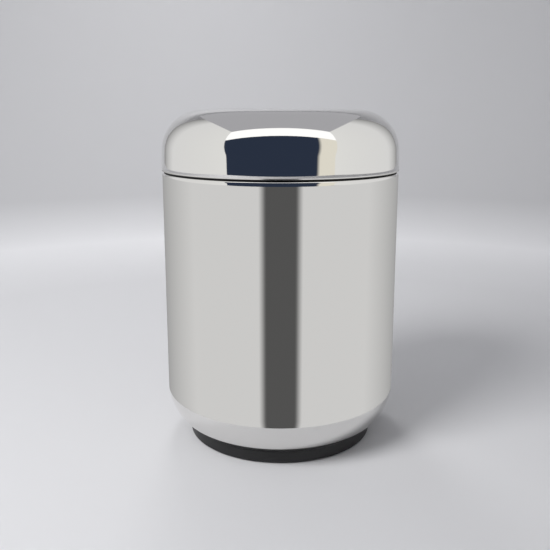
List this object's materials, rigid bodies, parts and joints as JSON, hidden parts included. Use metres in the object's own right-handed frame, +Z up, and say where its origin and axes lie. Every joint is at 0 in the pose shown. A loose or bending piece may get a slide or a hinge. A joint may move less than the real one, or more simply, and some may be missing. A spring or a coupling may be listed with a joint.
{
  "type": "lidded canister",
  "caption": "Insulated round steel canister with a domed lift-off lid, a recessed black foot, an inner liner and a lift-out drip grid.",
  "frame": {"origin": "centre of the foot's underside, on the surface it stands on", "axes": "+Z up along the canister's axis of turning; X and Y are free round it"},
  "size_m": [0.1646, 0.1646, 0.2321],
  "materials": {
    "polished_shell": "mirror polished stainless steel",
    "polished_lid": "mirror polished stainless steel",
    "satin_liner": "satin, spun round",
    "satin_grid": "satin",
    "plain_steel": "dull rolled",
    "screw_steel": "bright turned",
    "black_foot": "moulded, fine grain",
    "black_collar": "moulded, semi-gloss",
    "black_pan": "moulded, fine grain",
    "black_knob": "moulded, glossy",
    "tread_rubber": "matt",
    "pale_silicone": "soft, translucent white",
    "white_foam": "expanded polystyrene beads"
  },
  "bodies": {
    "bucket": {"outer_shell": "polished_shell", "foot_ring": "black_foot", "foot_tread": "tread_rubber", "foot_screws": "screw_steel", "base_plate": "plain_steel", "base_nuts": "plain_steel", "inner_liner": "satin_liner", "liner_seal": "pale_silicone", "rim_collar": "black_collar", "snap_ring": "plain_steel", "insulation_sleeve": "white_foam", "insulation_base": "white_foam"},
    "lid": {"lid_shell": "polished_lid", "lid_pan": "black_pan", "lid_gasket": "pale_silicone", "lid_insulation": "white_foam", "lid_stud": "plain_steel", "lid_washer": "screw_steel", "lid_nut": "screw_steel"},
    "grid": {"drip_grid": "satin_grid", "grid_legs": "satin_grid", "grid_post": "satin_grid", "grid_nut": "screw_steel", "grid_knob": "black_knob"}
  },
  "joints": [
    {"name": "lid_lift", "type": "slide", "parent": "bucket", "child": "lid", "axis": [0, 0, 1], "range_m": [0, 0.27]},
    {"name": "grid_lift", "type": "slide", "parent": "bucket", "child": "grid", "axis": [0, 0, 1], "range_m": [0, 0.2025]}
  ],
  "couplings": [
    {"joint": "grid_lift", "follows": "lid_lift", "ratio": 0.75}
  ]
}
